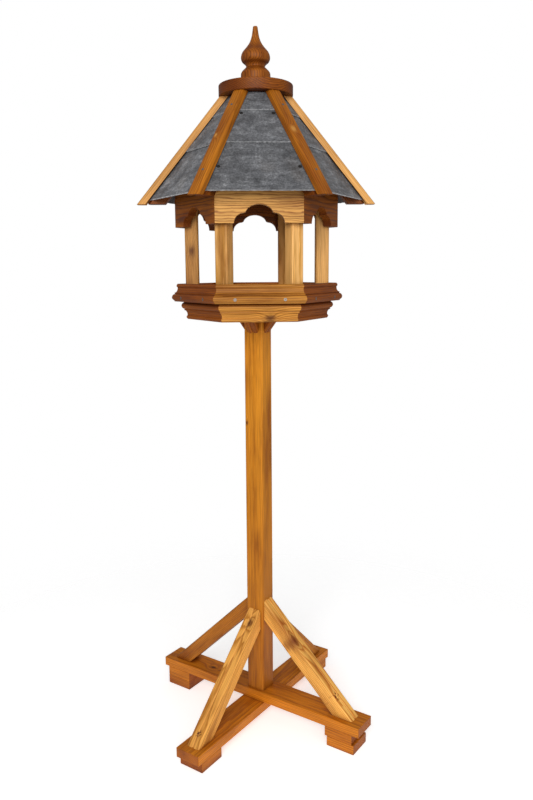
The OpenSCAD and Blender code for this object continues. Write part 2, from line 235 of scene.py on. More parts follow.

# %% [markdown]
# ## Materials
# The timber is planed pine, coated with a spirit stain. Pine has pale early wood and
# dark late wood, laid down in rings round the heart of the tree, so the pattern is
# worked out as real rings: a distance from the heart, bent by slow noise. A board
# then shows straight lines, cathedrals or end grain by itself, depending on where it
# was cut. A wood texture from an image would repeat, and would not turn the corner on
# to end grain. Each piece carries attributes: grain is its place in the log, knot and
# pins are the way from its knots, tone is the depth of its stain (on some pieces also
# painted shade), and end_grain marks the sawn ends.


# %% Growth rings and knots
def knot_distance(tree, shiver):
    """Distance in metres from a piece's knot, with a ragged edge."""
    knot = add(tree, "Attribute", attribute_name="knot").outputs["Vector"]
    oval = add(tree, "VectorMath", {0: knot, 1: (0.6, 1.0, 1.0)}, operation="MULTIPLY")
    from_knot = add(tree, "VectorMath", {0: oval}, operation="LENGTH")
    ragged = add(tree, "Math", {0: shiver, 1: 0.5}, operation="SUBTRACT")
    return add(tree, "Math", {0: ragged, 1: 12 * MM, 2: from_knot}, operation="MULTIPLY_ADD")


def growth_rings(tree, grain, shiver, from_knot, ring_mm, wild):
    """Share of dark late wood in rings round the heart, bent by waves and round a knot."""
    # The trunk waves about every 330 mm along it and 40 mm across it
    slow = add(tree, "VectorMath", {0: grain, 1: (3.0, 26.0, 26.0)}, operation="MULTIPLY")
    wave = add(tree, "TexNoise", {"Vector": slow, "Scale": 1.0, "Detail": 3.0})
    across = add(tree, "VectorMath", {0: grain, 1: (0.0, 1.0, 1.0)}, operation="MULTIPLY")
    radius = add(tree, "VectorMath", {0: across}, operation="LENGTH")
    radius = add(tree, "Math", {0: wave, 1: 13 * MM * wild, 2: radius}, operation="MULTIPLY_ADD")
    radius = add(tree, "Math", {0: shiver, 1: 3 * MM * wild, 2: radius}, operation="MULTIPLY_ADD")
    # Rings swell by up to 16 mm round a knot, less and less over the next 10 mm
    fade = add(tree, "Math", {0: from_knot, 1: -95.0}, operation="MULTIPLY")
    near = add(tree, "Math", {0: fade}, operation="EXPONENT")
    radius = add(tree, "Math", {0: near, 1: 16 * MM, 2: radius}, operation="MULTIPLY_ADD")
    turns = add(tree, "Math", {0: radius, 1: ring_mm * MM}, operation="DIVIDE")
    ring = add(tree, "Math", {0: turns}, operation="FRACT")
    return add(tree, "ValToRGB", {"Fac": ring}, stops=[
        (0.0, 0.25), (0.12, 0.0), (0.5, 0.15), (0.86, 1.0), (0.97, 0.9), (1.0, 0.3)])


def draw_knots(tree, from_knot, colour, knot_colour):
    """Colours the knot, about 10 mm across with a soft rim, and a cluster of pin knots."""
    halo = add(tree, "ValToRGB", {"Fac": from_knot}, stops=[
        (0.0, 1.0), (0.0035, 0.85), (0.0055, 0.35), (0.011, 0.0)])
    colour = add(tree, "Mix", {0: halo, 6: colour, 7: linear(knot_colour)}, **COVER)
    pins = add(tree, "Attribute", attribute_name="pins").outputs["Vector"]
    spread = add(tree, "VectorMath", {0: pins}, operation="LENGTH")
    # Pin knots are 2 to 3 mm across, within 9 mm of the cluster's middle
    dots = add(tree, "TexNoise", {"Vector": pins, "Scale": 210.0, "Detail": 0.0})
    dots = add(tree, "ValToRGB", {"Fac": dots}, stops=[(0.50, 0.0), (0.56, 1.0)])
    inside = add(tree, "ValToRGB", {"Fac": spread}, stops=[(0.006, 0.95), (0.009, 0.0)])
    dots = add(tree, "Math", {0: dots, 1: inside}, operation="MULTIPLY")
    return add(tree, "Mix", {0: dots, 6: colour, 7: linear(knot_colour)}, **COVER)


# %% Uneven stain and painted corner shade
def stain_and_corner_shade(tree, grain, fibre, colour):
    """Stain follows the fibres, blotches and darkens end grain; tight corners get painted shade."""
    end = add(tree, "Attribute", attribute_name="end_grain").outputs["Fac"]
    streak = add(tree, "ValToRGB", {"Fac": fibre}, stops=[(0.3, 0.66), (0.52, 1.0), (0.72, 1.2)])
    colour = add(tree, "Mix", {0: 1.0, 6: colour, 7: streak}, **TINT)
    # Blotches are about 200 mm long and 45 mm wide
    patch = add(tree, "VectorMath", {0: grain, 1: (5.0, 22.0, 22.0)}, operation="MULTIPLY")
    blotch = add(tree, "TexNoise", {"Vector": patch, "Scale": 1.0, "Detail": 4.0})
    soak = add(tree, "ValToRGB", {"Fac": blotch}, stops=[
        (0.3, [0.60, 0.48, 0.36, 1]), (0.48, 1.0), (0.7, [1.22, 1.26, 1.32, 1])])
    colour = add(tree, "Mix", {0: 0.95, 6: colour, 7: soak}, **TINT)
    colour = add(tree, "Mix", {0: end, 6: colour, 7: (0.60, 0.50, 0.42, 1)}, **TINT)
    # Within 14 mm of where two pieces meet, the colour darkens by how enclosed the spot is: painted
    # shade in the corners, with the darker line of stain at the joint
    corner = add(tree, "AmbientOcclusion", {"Distance": 14 * MM}, samples=4)
    corner_shade = add(tree, "ValToRGB", {"Fac": corner.outputs["AO"]}, stops=[
        (0.25, [0.42, 0.27, 0.16, 1]), (0.85, 1.0)])
    return add(tree, "Mix", {0: 0.9, 6: colour, 7: corner_shade}, **TINT)


# %% Planed pine with a spirit stain
def stained_pine(name, early, late, knot_colour, ring_mm, contrast, roughness, wild=1.0):
    """Planed pine under a satin stain. Wild timber has rings that wave more."""
    material, tree, shader = new_material(name)
    grain = add(tree, "Attribute", attribute_name="grain").outputs["Vector"]
    tone = add(tree, "Attribute", attribute_name="tone").outputs["Fac"]
    # A ring shivers every 45 mm along it and 8 mm across it
    quick = add(tree, "VectorMath", {0: grain, 1: (22.0, 130.0, 130.0)}, operation="MULTIPLY")
    shiver = add(tree, "TexNoise", {"Vector": quick, "Scale": 1.0, "Detail": 2.0})
    # Fibres are finer than 0.1 mm; they are drawn 1 mm across so that they show
    thread = add(tree, "VectorMath", {0: grain, 1: (14.0, 950.0, 950.0)}, operation="MULTIPLY")
    fibre = add(tree, "TexNoise", {"Vector": thread, "Scale": 1.0, "Detail": 2.0})

    from_knot = knot_distance(tree, shiver)
    late_wood = growth_rings(tree, grain, shiver, from_knot, ring_mm, wild)
    amount = add(tree, "Math", {0: late_wood, 1: contrast}, operation="MULTIPLY")
    colour = add(tree, "Mix", {0: amount, 6: linear(early), 7: linear(late)}, **COVER)
    colour = stain_and_corner_shade(tree, grain, fibre, colour)
    colour = draw_knots(tree, from_knot, colour, knot_colour)
    # A deeper stain takes out more green than red, and more blue than green
    depth = [add(tree, "Math", {0: base, 1: tone}, operation="POWER") for base in (2.0, 2.55, 3.5)]
    depth = add(tree, "CombineXYZ", dict(enumerate(depth)))
    colour = add(tree, "VectorMath", {0: colour, 1: depth}, operation="MULTIPLY")
    tree.links.new(colour.outputs[0], shader.inputs["Base Color"])

    # Hard late wood stands proud and shines a little more
    gloss = add(tree, "MapRange", {"Value": late_wood, "To Min": roughness + 0.06,
                                   "To Max": roughness - 0.08})
    tree.links.new(gloss.outputs[0], shader.inputs["Roughness"])
    relief = add(tree, "Math", {0: fibre, 1: 0.5, 2: late_wood}, operation="MULTIPLY_ADD")
    bump = add(tree, "Bump", {"Strength": 0.45, "Distance": 0.5 * MM, "Height": relief})
    tree.links.new(bump.outputs[0], shader.inputs["Normal"])
    shader.inputs["IOR"].default_value = 1.45
    shader.inputs["Specular IOR Level"].default_value = 0.24
    return material


# %% Timber finishes
# Name, early wood, late wood, knot, ring width in mm, contrast, roughness, wildness
honey_pine = stained_pine("pine_honey_stain", "#C67C20", "#965000", "#3A1A08", 3.8, 0.72, 0.54)
pole_pine = stained_pine("pine_even_stain", "#C67C1C", "#9C5602", "#5A2A0A", 5.0, 0.45, 0.52, 0.7)
base_pine = stained_pine("pine_deep_stain", "#C07014", "#8A4200", "#3A1A08", 4.2, 0.62, 0.54)
moulding_pine = stained_pine("pine_brown_stain", "#C08234", "#844A0C", "#4A220A", 3.8, 0.78, 0.55)
rail_pine = stained_pine("pine_amber_stain", "#AE6814", "#824404", "#C48A40", 3.4, 0.65, 0.50)
light_pine = stained_pine("pine_light_stain", "#E4AE68", "#B8802E", "#6A3A16", 3.8, 0.70, 0.55)
gold_pine = stained_pine("pine_golden_stain", "#E8AC54", "#B8620E", "#6A2A06", 4.2, 0.85, 0.54)
worn_pine = stained_pine("pine_worn_stain", "#D69442", "#96540C", "#4A2008", 4.4, 0.80, 0.60, 1.5)
tan_pine = stained_pine("pine_tan_stain", "#D69E54", "#8A521C", "#4A280E", 4.4, 0.85, 0.55, 2.0)
pale_pine = stained_pine("pine_pale_stain", "#D69C56", "#B67830", "#6A3A16", 3.6, 0.55, 0.54)
dark_pine = stained_pine("pine_dark_stain", "#94500E", "#5C2A02", "#2A1206", 3.6, 0.75, 0.52)
print("timber finishes:", [m.name for m in bpy.data.materials if m.name.startswith("pine")])


# %% [markdown]
# Slate is split, not sawn, so its face is a staircase of thin layers that catch the
# light in streaks. It is a matt blue-grey with a pale bloom where it has been rubbed,
# and a little rust-brown from iron in the stone.

# %% Riven slate
def riven_slate():
    """Split slate: layered relief, pale bloom, darker clefts and a trace of rust."""
    material, tree, shader = new_material("riven_slate")
    stone = add(tree, "Attribute", attribute_name="grain").outputs["Vector"]
    tone = add(tree, "Attribute", attribute_name="tone").outputs["Fac"]
    # Cloudy patches are about 40 mm across
    cloud = add(tree, "TexNoise", {"Vector": stone, "Scale": 26.0, "Detail": 9.0,
                                   "Roughness": 0.68, "Distortion": 0.4})
    colour = add(tree, "ValToRGB", {"Fac": cloud}, stops=[
        (0.32, linear("#424346")), (0.46, linear("#58595C")),
        (0.57, linear("#646568")), (0.74, linear("#87888A"))])

    # Clefts run along the bed of the stone, about 11 mm apart and 40 mm long
    bed = add(tree, "VectorMath", {0: stone, 1: (26.0, 90.0, 90.0)}, operation="MULTIPLY")
    cleft = add(tree, "TexNoise", {"Vector": bed, "Scale": 1.0, "Detail": 6.0, "Distortion": 0.6})
    veil = add(tree, "ValToRGB", {"Fac": cleft}, stops=[(0.36, 0.70), (0.52, 1.0), (0.70, 1.45)])
    colour = add(tree, "Mix", {0: 0.9, 6: colour, 7: veil}, **TINT)

    # Grit is far finer than this; it is drawn about 4 mm across so that it shows
    speck = add(tree, "TexNoise", {"Vector": stone, "Scale": 230.0, "Detail": 4.0,
                                   "Roughness": 0.75})
    grit = add(tree, "ValToRGB", {"Fac": speck}, stops=[(0.34, 0.54), (0.5, 1.0), (0.68, 1.75)])
    colour = add(tree, "Mix", {0: 0.9, 6: colour, 7: grit}, **TINT)
    # The chopped lower edge is pale, iron stains the stone in hand-sized patches, and a
    # nick shows dark
    rim = add(tree, "Attribute", attribute_name="rim").outputs["Fac"]
    colour = add(tree, "Mix", {0: rim, 6: colour, 7: linear("#B8B9BB")}, **COVER)
    iron = add(tree, "TexNoise", {"Vector": stone, "Scale": 6.0, "Detail": 2.0})
    rust = add(tree, "ValToRGB", {"Fac": iron}, stops=[(0.62, 0.0), (0.78, 0.35)])
    colour = add(tree, "Mix", {0: rust, 6: colour, 7: linear("#7A6A58")}, **COVER)
    power = add(tree, "Math", {0: 2.0, 1: tone}, operation="POWER")
    colour = add(tree, "VectorMath", {0: colour, "Scale": power}, operation="SCALE")
    # The disc in each nick is coloured near black: painted shade where one looks into the hole
    shade = add(tree, "Attribute", attribute_name="shade").outputs["Fac"]
    colour = add(tree, "Mix", {0: shade, 6: colour, 7: linear("#120A06")}, **COVER)
    colour = next(o for o in colour.outputs if o.enabled)
    tree.links.new(colour, shader.inputs["Base Color"])
    dull = add(tree, "MapRange", {"Value": cloud, "To Min": 0.52, "To Max": 0.78})
    tree.links.new(dull.outputs[0], shader.inputs["Roughness"])
    layers = add(tree, "Math", {0: cleft, 1: 1.6, 2: speck}, operation="MULTIPLY_ADD")
    bump = add(tree, "Bump", {"Strength": 0.6, "Distance": 0.8 * MM, "Height": layers})
    tree.links.new(bump.outputs[0], shader.inputs["Normal"])
    shader.inputs["IOR"].default_value = 1.5
    return material


slate = riven_slate()


# %% [markdown]
# The screws and nails are mild steel with a dip of zinc, which dulls to a pale grey
# with faint crystals.

# %% Zinc-plated steel
def zinc_plate():
    """Zinc on mild steel: a pale, slightly mottled metal."""
    material, tree, shader = new_material("zinc_plated_steel")
    place = add(tree, "TexCoord").outputs["Object"]
    # Zinc crystals are about 1 mm across
    crystal = add(tree, "TexVoronoi", {"Vector": place, "Scale": 900.0})
    colour = add(tree, "ValToRGB", {"Fac": crystal}, stops=[
        (0.0, linear("#9A9D9E")), (1.0, linear("#6E7172"))])
    tree.links.new(colour.outputs[0], shader.inputs["Base Color"])
    rough = add(tree, "MapRange", {"Value": crystal, "To Min": 0.45, "To Max": 0.62})
    tree.links.new(rough.outputs[0], shader.inputs["Roughness"])
    shader.inputs["Metallic"].default_value = 1.0
    return material


zinc = zinc_plate()

# %% [markdown]
# ## Tools of the bench
# Almost every piece is a length of wood, so the helpers are a joiner's: a section is
# drawn, drawn out to length along X, sawn across by a plane, and its edges are eased.
# A finished piece is marked with its grain while it still lies along X, and is only
# then carried to its place, so its object can stay at the origin.

# %% Section, saw and edge helpers
luck = random.Random(7)


def notch_up(bm, pitch):
    """Cuts a piece that lies along X into short lengths, so that marks on it are fine."""
    xs = [v.co.x for v in bm.verts]
    steps = int((max(xs) - min(xs)) / pitch)
    for i in range(1, steps):
        x = min(xs) + (max(xs) - min(xs)) * i / steps
        geom = bm.verts[:] + bm.edges[:] + bm.faces[:]
        bmesh.ops.bisect_plane(bm, geom=geom, plane_co=(x, 0, 0), plane_no=(1, 0, 0), dist=1e-7)


def push(bm, faces, by):
    """Draws faces out along a vector, and gives back the vertices that moved."""
    pushed = bmesh.ops.extrude_face_region(bm, geom=faces)
    moved = [g for g in pushed["geom"] if isinstance(g, bmesh.types.BMVert)]
    bmesh.ops.translate(bm, vec=by, verts=moved)
    return moved


def length_of(section, length):
    """A bar whose section is a list of (y, z) points, lying along X from 0 to length."""
    bm = bmesh.new()
    face = bm.faces.new([bm.verts.new((0, y, z)) for y, z in section])
    push(bm, [face], (length, 0, 0))
    bmesh.ops.recalc_face_normals(bm, faces=bm.faces)
    return bm


def block(length, width, thick):
    """A sawn block, centred on the origin."""
    bm = bmesh.new()
    bmesh.ops.create_cube(bm, size=1)
    bmesh.ops.scale(bm, vec=(length, width, thick), verts=bm.verts)
    return bm


def saw(bm, point, away):
    """Saws off what lies beyond a plane, and closes the cut."""
    geom = bm.verts[:] + bm.edges[:] + bm.faces[:]
    bmesh.ops.bisect_plane(bm, geom=geom, plane_co=point, plane_no=away, clear_outer=True,
                           dist=1e-6)
    rim = [e for e in bm.edges if e.is_boundary]
    if rim:
        bmesh.ops.holes_fill(bm, edges=rim, sides=0)


def mitre(bm):
    """Saws both ends of a piece that lies along X, one side of a hexagon round the origin."""
    for side in (-1, 1):
        saw(bm, (0, 0, 0), Vector((side * math.cos(MITRE), math.sin(MITRE), 0)))


def saw_in_place(bm, place, point, away):
    """Saws a piece by a plane given where it will stand."""
    back = place.inverted()
    saw(bm, back @ Vector(point), back.to_3x3() @ Vector(away))


def ease(bm, width, segments=2, angle=40, only=None):
    """Rounds every edge sharper than an angle, or only those that a test picks."""
    sharp = [e for e in bm.edges if e.calc_face_angle(0) > math.radians(angle)
             and (only is None or only(e))]
    bmesh.ops.bevel(bm, geom=sharp, offset=width, offset_type="OFFSET", segments=segments,
                    profile=0.5, affect="EDGES", material=-1, clamp_overlap=True)


def runs_along(axis):
    """A test for edges that run along an axis."""
    def test(edge):
        return abs((edge.verts[1].co - edge.verts[0].co).normalized()[axis]) > 0.99
    return test


def setting(origin, along, above):
    """The place of a piece: X runs along it, and Z is its upper side."""
    x = Vector(along).normalized()
    z = Vector(above) - x * x.dot(Vector(above))
    z.normalize()
    return Matrix.Translation(origin) @ Matrix((x, z.cross(x), z)).transposed().to_4x4()


def turned(angle):
    """A turn about the pole."""
    return Matrix.Rotation(angle, 4, "Z")


# %% Marking and fitting
# A piece without a knot has it this far away, in metres
FAR = (9, 9, 9)


def fit(name, bm, place, material, slot, nodes, tone=0.0, tone_end=None, knot=None, pins=None,
        heart=None):
    """Marks a piece's grain, tone and knots, carries it to its place and joins it to the model.

    A tone below 0 is a deeper stain: -1 halves its red. The heart is the (y, z) of the
    middle of the log. A knot is a point on the surface, the way that its branch grew, out
    of the piece, and a size, where 1 is about 10 mm across. Pins are a cluster of small
    knots, given in the same way."""
    # A tone also paints shade on the side mouldings and the rafters, and light on the side slates
    bmesh.ops.remove_doubles(bm, verts=bm.verts, dist=1e-6)
    bm.normal_update()
    if heart is None:
        lean = luck.uniform(0.15, 0.85) * math.pi
        depth = luck.uniform(0.035, 0.075)
        heart = (depth * math.cos(lean), -depth * math.sin(lean))
    along = luck.uniform(-5, 5)
    grain = bm.verts.layers.float_vector.new("grain")
    marks = {"knot": knot, "pins": pins}
    layers = {key: bm.verts.layers.float_vector.new(key) for key in marks}
    tones = bm.verts.layers.float.new("tone")
    ends = bm.faces.layers.float.new("end_grain")
    first = min(v.co.x for v in bm.verts)
    length = max(v.co.x for v in bm.verts) - first
    for v in bm.verts:
        v[grain] = v.co + Vector((along, -heart[0], -heart[1]))
        share = (v.co.x - first) / length
        v[tones] = tone if tone_end is None else tone + (tone_end - tone) * share
    back = place.inverted()
    for key, mark in marks.items():
        centre, branch, size = mark or (FAR, Vector((0, 0, 1)), 1)
        centre = back @ Vector(centre)
        branch = (back.to_3x3() @ Vector(branch)).normalized()
        for v in bm.verts:
            away = v.co - centre
            v[layers[key]] = (away - 0.75 * away.dot(branch) * branch) / size
    for f in bm.faces:
        f[ends] = min(1.0, max(0.0, (abs(f.normal.x) - 0.55) / 0.3))
        f.smooth = True
    bmesh.ops.transform(bm, matrix=place, verts=bm.verts)
    mesh = bpy.data.meshes.new(name)
    bm.to_mesh(mesh)
    bm.free()
    mesh.set_sharp_from_angle(angle=math.radians(38))
    mesh.materials.append(material)
    piece = bpy.data.objects.new(name, mesh)
    bpy.context.scene.collection.objects.link(piece)
    soften = piece.modifiers.new("weighted_normals", "WEIGHTED_NORMAL")
    soften.keep_sharp = True
    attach(piece, "root")
    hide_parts(*nodes)
    return piece


def arc(centre, radius, start, stop, steps, squash=1.0):
    """Points on a round, as pairs, with the angles in degrees."""
    angles = [math.radians(start + (stop - start) * i / steps) for i in range(steps + 1)]
    return [(centre[0] + radius * math.cos(a), centre[1] + squash * radius * math.sin(a))
            for a in angles]


# %% [markdown]
# ## Cross base
# Two boards cross flat on one another, and blocks of the same board lift their ends:
# two under each end of the upper one, one under each end of the lower one. Planed
# softwood has its corners eased by about a millimetre, or it would splinter.

# %% Beams and feet
quarters = ["front_right", "back_right", "back_left", "front_left"]
base = turned(base_turn)


def on_base(quarter):
    """The turn that carries X to one arm of the cross."""
    return base @ turned(quarter * QUARTER_TURN)


def lay_beam(name, quarter, z, tone, knot_at, heart):
    """One beam of the cross, along one of its two directions."""
    bm = block(BEAM_L[quarter], BEAM_W, board)
    ease(bm, 1.3 * MM)
    place = on_base(quarter) @ Matrix.Translation((0, 0, z + board / 2))
    knot = (place @ Vector((*knot_at, board / 2)), (0, 0, 1), 0.8) if knot_at else None
    fit(name, bm, place, base_pine, "stained_pine", [name], tone=tone, knot=knot, heart=heart)


lay_beam("beam_lower", 1, board, 0.12, None, (0.012, -0.05))
lay_beam("beam_upper", 0, 2 * board, 0.05, (-0.158, -0.004), (-0.01, -0.06))

foot_tones = {"foot_front_right_upper": -0.25, "foot_front_left": -0.2}
for node, quarter in (("foot_front_right_lower", 0), ("foot_front_right_upper", 0),
                      ("foot_back_left_lower", 2), ("foot_back_left_upper", 2),
                      ("foot_front_left", 3), ("foot_back_right", 1)):
    low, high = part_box(node)
    middle = (low + high) / 2
    bm = block(FOOT_L, BEAM_W - 0.6 * MM, board)
    ease(bm, 1.2 * MM)
    fit(node, bm, Matrix.Translation(middle) @ on_base(quarter), base_pine, "stained_pine", [node],
        tone=foot_tones.get(node, 0.0))
    print(node, "stands at", tuple(round(v / MM) for v in middle), "mm")


# %% [markdown]
# ## Pole
# The pole is a square length with well rounded corners, which catch the light as a
# bright line. The rounding is a bevel of the four long edges.

# %% Pole
def rounded_bar(length, width, radius):
    """A square bar with rounded long edges, along X and centred on it."""
    bm = block(length, width, width)
    ease(bm, radius, segments=6, only=runs_along(0))
    return bm


pole_l = pole_high - pole_low
bm = rounded_bar(pole_l, POLE_W, POLE_ROUND)
notch_up(bm, 40 * MM)
# The timber has wound as it dried, so its top has turned away from its foot
for v in bm.verts:
    share = v.co.x / pole_l + 0.5
    v.co = Matrix.Rotation(POLE_TWIST * share, 3, "X") @ v.co
left_face = on_base(-1)
pole_knot = left_face @ Vector((POLE_W / 2, -17 * MM, 790 * MM))
fit("pole", bm, base @ setting((0, 0, (pole_low + pole_high) / 2), (0, 0, 1), (0, 1, 0)),
    pole_pine, "stained_pine", ["pole"], tone=-0.5, tone_end=0.3,
    knot=(pole_knot, left_face @ Vector((1, 0, 0)), 0.5), heart=(0.02, -0.06))
print("pole winds", round(math.degrees(POLE_TWIST), 1), "degrees over", round(pole_l, 3), "m")

# %% [markdown]
# ## Braces and brackets
# The braces are cut at 45 degrees from a moulded batten: two rounded lobes with a
# groove between them. A short length of the same batten makes each bracket under the
# table. The section is drawn from two round arcs that meet in the groove.

# %% Moulded batten, cut as a knee
def batten_section(width):
    """The batten's outline, with its crest at z = 0 and the wood below."""
    side = width / 2 - LOBE_R
    meet = math.degrees(math.acos(GROOVE_EDGE / LOBE_R))
    left_lobe = (arc((-side, -LOBE_R), LOBE_R, 180, 90, 5)
                 + arc((-GROOVE_EDGE, -LOBE_R), LOBE_R, 90, meet, 3))
    right_lobe = (arc((GROOVE_EDGE, -LOBE_R), LOBE_R, 180 - meet, 90, 3)
                  + arc((side, -LOBE_R), LOBE_R, 90, 0, 5))
    return [(width / 2, -BATTEN_T), (-width / 2, -BATTEN_T)] + left_lobe + right_lobe[1:]


def stand_knee(name, node, turn, corner_z, rise, out, width, material, slot, **marks):
    """Sets a batten between the pole and what is under it, or over it when the rise is negative."""
    crest = math.hypot(out, rise)
    up = math.copysign(1, rise)
    top = Vector((POLE_W / 2, 0, corner_z + rise))
    place = turn @ setting(top, (out, 0, -rise), (abs(rise), 0, up * out))
    bm = length_of(batten_section(width), crest + 2 * BATTEN_T)
    bmesh.ops.translate(bm, vec=(-BATTEN_T, 0, 0), verts=bm.verts)
    saw_in_place(bm, place, turn @ Vector((POLE_W / 2, 0, 0)), turn.to_3x3() @ Vector((-1, 0, 0)))
    saw_in_place(bm, place, (0, 0, corner_z), (0, 0, -up))
    ease(bm, 0.9 * MM, segments=2, angle=55)
    fit(name, bm, place, material, slot, [node], **marks)


def on_crest(quarter, foot_z, along, across, below):
    """A point on a brace: distances down it from its top, across it and under its crest."""
    crest = math.hypot(BRACE_OUT, BRACE_UP)
    down = Vector((BRACE_OUT, 0, -BRACE_UP)) / crest
    off = Vector((BRACE_UP, 0, BRACE_OUT)) / crest
    spot = Vector((POLE_W / 2, 0, foot_z + BRACE_UP)) + down * along - off * below
    spot.y = across
    turn = on_base(quarter)
    return turn @ spot, turn.to_3x3() @ off


foot_levels = [pole_low, pole_low - board, pole_low, pole_low - board]
# The front right brace is golden and clear, the front left one pale, knotty and worn
brace_finish = [gold_pine, honey_pine, honey_pine, worn_pine]
brace_marks = [
    dict(tone=0.1, knot=(*on_crest(0, pole_low, 0.124, -0.013, 0.004), 1.5),
         pins=(*on_crest(0, pole_low, 0.29, -0.008, 0.0), 1.4), heart=(-0.012, -0.07)),
    dict(tone=-0.3),
    dict(tone=-0.35, heart=(0.02, -0.05)),
    dict(tone=0.25, knot=(*on_crest(3, pole_low - board, 0.04, 0.004, 0.0), 1.1),
         pins=(*on_crest(3, pole_low - board, 0.325, 0.0, 0.0), 1.0), heart=(0.005, -0.08)),
]
for quarter, name in enumerate(quarters):
    turn = on_base(quarter)
    stand_knee("brace_" + name, "brace_" + name, turn, foot_levels[quarter], BRACE_UP, BRACE_OUT,
               BATTEN_W, brace_finish[quarter],
               "light_pine" if quarter == 0 else "stained_pine", **brace_marks[quarter])
    wound = turned(POLE_TWIST) @ turn
    stand_knee("pole_bracket_" + name, "pole_brackets", wound, pole_high, -BRACKET_UP, BRACKET_OUT,
               BRACKET_W, base_pine, "stained_pine", tone=-0.45)

# %% [markdown]
# ## Table
# The tray is two rows of the same moulding, set back to back: a bead, a hollow and a
# broad lip. Each row is six lengths mitred at 30 degrees, which are sawn from a
# length of the moulding.


# %% Moulding
def moulding_section():
    """Outline as (out, along) pairs, with its back at out = 0 and its thin edge at along = 0."""
    thin, bead, lip, fillet = 7 * MM, 4.6 * MM, 9 * MM, 1 * MM
    hollow, hollow_low, hollow_h = 6.05 * MM, 9.6 * MM, 11.5 * MM
    points = [(0, 0), (thin - fillet / 2, 0), (thin + fillet / 2, fillet)]
    points += arc((thin - bead / 2, fillet + bead * math.sin(SIXTH_TURN)), bead, -60, 60, 8)
    points += arc((thin + hollow, hollow_low), hollow, 180, 90, 6, squash=hollow_h / hollow)
    points += [(thin + 7 * MM, 21.5 * MM)]
    points += arc((moulding_t - lip, moulding_h - lip - fillet), lip, -75, 60, 15,
                  squash=(lip - fillet / 2) / lip)
    points += [(moulding_t - 6 * MM, moulding_h), (0, moulding_h)]
    return points


def to_side(k):
    """The turn that carries a piece with its outer face towards -Y to side k."""
    return turned(SIXTH_TURN * (k + 1))


def mitred_moulding(back, thick_edge_up):
    """A mitred length along X, its back at y = -back and its outer face towards -Y."""
    half = (back + moulding_t) * math.tan(MITRE)
    flip = 1 if thick_edge_up else -1
    base_line = 0 if thick_edge_up else moulding_h
    section = [(-back - out, base_line + flip * along) for out, along in moulding_section()]
    bm = length_of(section, 2 * half)
    bmesh.ops.translate(bm, vec=(-half, 0, 0), verts=bm.verts)
    mitre(bm)
    ease(bm, 0.5 * MM, segments=1, angle=60)
    return bm


# Side 5 faces the front; sides 4 and 6, beside it, are drawn much darker: painted shade on the
# sides that turn away from the front
side_shade_tones = {5: 0.05, 4: -0.8, 6: -0.8}
low_knot = (Vector((23 * MM, -ring_back - 14 * MM, floor_low - moulding_h + 8 * MM)),
            (0, -1, 0.2), 1.2)
for k in range(1, 7):
    turn = to_side(k)
    tone = side_shade_tones.get(k, -0.2)
    front = k == 5
    # The front length has a paler brown finish and the others the deeper one, which adds to the
    # painted shade on the sides
    finish = moulding_pine if front else base_pine
    bm = mitred_moulding(ring_back, True)
    fit(f"lower_moulding_{k}", bm, turn @ Matrix.Translation((0, 0, floor_low - moulding_h)),
        finish, "stained_pine", [f"lower_moulding_{k}"], tone=tone,
        knot=low_knot if front else None, heart=(-ring_back - 0.03, -0.06))
    bm = mitred_moulding(floor_flat, False)
    fit(f"upper_moulding_{k}", bm, turn @ Matrix.Translation((0, 0, floor_low)), finish,
        "stained_pine", [f"upper_moulding_{k}"], tone=tone - 0.15,
        heart=(-floor_flat + 0.01, -0.07))


# %% Floor and underboard
def hexagon_board(flat, thick):
    """A six-sided board whose corners lie on X, with its underside at z = 0."""
    bm = bmesh.new()
    bmesh.ops.create_circle(bm, cap_ends=True, segments=6, radius=flat / math.cos(MITRE))
    bmesh.ops.rotate(bm, matrix=Matrix.Rotation(-QUARTER_TURN, 3, "Z"), verts=bm.verts)
    push(bm, bm.faces[:], (0, 0, thick))
    bmesh.ops.recalc_face_normals(bm, faces=bm.faces)
    return bm


for node, flat, material, slot in (("table_floor", floor_flat, light_pine, "light_pine"),
                                   ("underboard", ring_back, honey_pine, "stained_pine")):
    low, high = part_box(node)
    bm = hexagon_board(flat, high.z - low.z)
    widest = max(v.co.x for v in bm.verts)
    print(node, "reaches", round(widest / MM, 1), "mm, the frame says", round(high.x / MM, 1))
    fit(node, bm, Matrix.Translation((0, 0, low.z)), material, slot, [node], tone=-0.1)

# %% [markdown]
# ## Posts and frieze
# Six square posts stand on the floor with one face outwards. Above the frieze line
# each is cut back to a wedge, so that the frieze boards sit on its shoulders. The
# frieze boards are mitred, and each has an arch sawn out: a quarter round at each
# foot, then a flatter crown.


# %% Posts
def post(height, shoulder):
    """A post along X, its outer face towards +Z, cut back beyond the shoulder."""
    bm = rounded_bar(height, POST_W, POST_ROUND)
    bmesh.ops.translate(bm, vec=(height / 2, 0, POST_R), verts=bm.verts)
    # Two frieze boards meet in front of the wedge, at the corner of their inner faces
    inside = (frieze_out - frieze_t) / math.cos(MITRE)
    geom = bm.verts[:] + bm.edges[:] + bm.faces[:]
    bmesh.ops.bisect_plane(bm, geom=geom, plane_co=(shoulder, 0, 0), plane_no=(1, 0, 0), dist=1e-6)
    for v in bm.verts:
        if v.co.x > shoulder + 1e-5:
            wedge = inside - abs(v.co.y) * math.tan(MITRE)
            v.co.z = min(v.co.z, wedge)
    return bm


